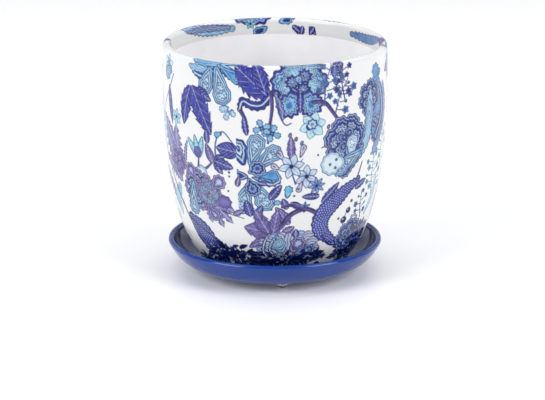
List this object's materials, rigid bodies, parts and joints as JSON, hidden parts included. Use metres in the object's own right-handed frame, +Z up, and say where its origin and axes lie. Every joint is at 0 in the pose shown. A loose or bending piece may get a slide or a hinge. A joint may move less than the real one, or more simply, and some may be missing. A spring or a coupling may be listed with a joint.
{
  "type": "planter pot with saucer",
  "caption": "Round ceramic planter pot in a floral printed film wrap, lifting off a glazed saucer with clear bumper feet.",
  "frame": {"origin": "on the pot's axis, on the surface that the four bumpers stand on", "axes": "+Z up along the pot's axis, -Y towards the front bumper's side, +X to the right"},
  "size_m": [0.16, 0.16, 0.1666],
  "materials": {
    "white_glaze": "gloss white glaze",
    "printed_film": "varnished blue and white floral print",
    "cobalt_glaze": "gloss cobalt glaze",
    "clear_silicone": "clear silicone"
  },
  "bodies": {
    "saucer_base": {"saucer": "cobalt_glaze", "bumper_front": "clear_silicone", "bumper_right": "clear_silicone", "bumper_rear": "clear_silicone", "bumper_left": "clear_silicone"},
    "pot_body": {"pot": "white_glaze", "printed_wrap": "printed_film"}
  },
  "joints": [
    {"name": "pot_lift", "type": "slide", "parent": "saucer_base", "child": "pot_body", "axis": [0, 0, 1], "range_m": [0, 0.04]}
  ]
}
